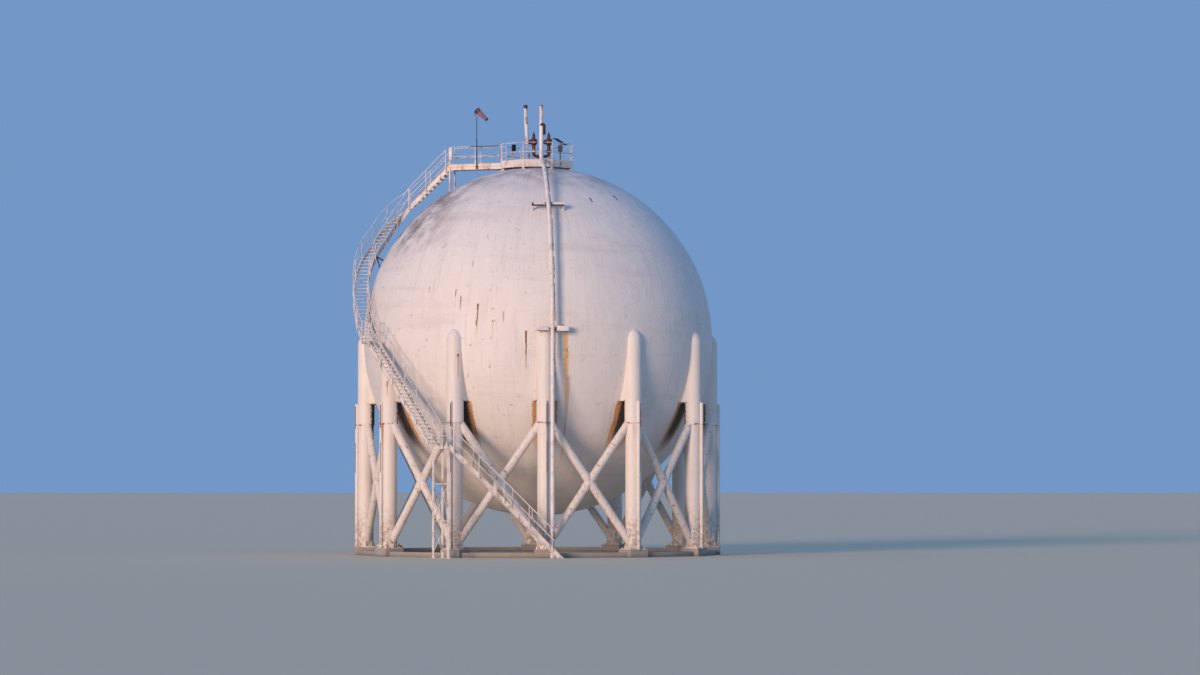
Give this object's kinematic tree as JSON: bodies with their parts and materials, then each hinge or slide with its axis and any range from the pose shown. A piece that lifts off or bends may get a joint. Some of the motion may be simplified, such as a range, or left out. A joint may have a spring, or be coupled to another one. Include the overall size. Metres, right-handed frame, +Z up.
{
  "type": "spherical gas tank",
  "caption": "Insulated spherical gas tank on tubular columns with crossed pipe bracing, a curved stair, a railed crown platform, relief valves, vents and a wind sock.",
  "frame": {"origin": "at grade under the middle of the whole tank's outline; the sphere's vertical axis is 0.068 m to the right of it and 0.590 m behind it", "axes": "+Z up, -Y towards the front where the single pipe runs down the sphere, +X to the right seen from the front"},
  "size_m": [19.8366, 20.8804, 24.3042],
  "materials": {
    "shell_paint": "satin white jacket, streaked with dirt and rust",
    "column_paint": "satin warm white, rust at the lower edge of the cladding",
    "brace_paint": "satin off-white, weathered",
    "concrete": "weathered concrete",
    "stair_paint": "satin off-white, chipped and rusting",
    "rail_paint": "satin off-white, chipped and rusting",
    "pipe_paint": "satin white, dull",
    "valve_paint": "dark red, dull and rusting",
    "solar_glass": "dark blue glass over cells, grey-green box",
    "black_casting": "black, dull",
    "sock_cloth": "faded pink-orange cloth"
  },
  "bodies": {
    "tank": {"crown_cap": "shell_paint", "upper_belt_1": "shell_paint", "upper_belt_2": "shell_paint", "upper_belt_3": "shell_paint", "lower_belt_1": "shell_paint", "lower_belt_2": "shell_paint", "lower_belt_3": "shell_paint", "bottom_cap": "shell_paint", "leg_1": "column_paint", "leg_2": "column_paint", "leg_3": "column_paint", "leg_4": "column_paint", "leg_5": "column_paint", "leg_6": "column_paint", "leg_7": "column_paint", "leg_8": "column_paint", "leg_9": "column_paint", "leg_10": "column_paint", "leg_11": "column_paint", "leg_12": "column_paint", "cross_brace_1": "brace_paint", "cross_brace_2": "brace_paint", "cross_brace_3": "brace_paint", "cross_brace_4": "brace_paint", "cross_brace_5": "brace_paint", "cross_brace_6": "brace_paint", "cross_brace_7": "brace_paint", "cross_brace_8": "brace_paint", "cross_brace_9": "brace_paint", "cross_brace_10": "brace_paint", "cross_brace_11": "brace_paint", "cross_brace_12": "brace_paint", "foundation_ring": "concrete", "crown_platform": "stair_paint", "walkway": "stair_paint", "upper_flight": "stair_paint", "equator_landing": "stair_paint", "lower_flight": "stair_paint", "middle_landing": "stair_paint", "bottom_flight": "stair_paint", "top_railing": "rail_paint", "upper_outer_rail": "rail_paint", "upper_inner_rail": "rail_paint", "lower_outer_rail": "rail_paint", "lower_inner_rail": "rail_paint", "bottom_outer_rail": "rail_paint", "bottom_inner_rail": "rail_paint", "wind_sock_pole": "rail_paint", "front_pipe": "pipe_paint", "pipe_bracket_upper": "pipe_paint", "pipe_bracket_lower": "pipe_paint", "vent_stack_left": "pipe_paint", "vent_stack_right": "pipe_paint", "relief_manifold": "valve_paint", "relief_valve_left": "valve_paint", "relief_valve_right": "valve_paint", "solar_panel": "solar_glass", "floodlight": "black_casting"},
    "sock": {"wind_sock_frame": "rail_paint", "wind_sock": "sock_cloth"}
  },
  "joints": [
    {"name": "wind_sock_swivel", "type": "hinge", "parent": "tank", "child": "sock", "pos_m": [-3.2364, 1.4965, 23.56], "axis": [0, 0, 1], "continuous": true}
  ]
}
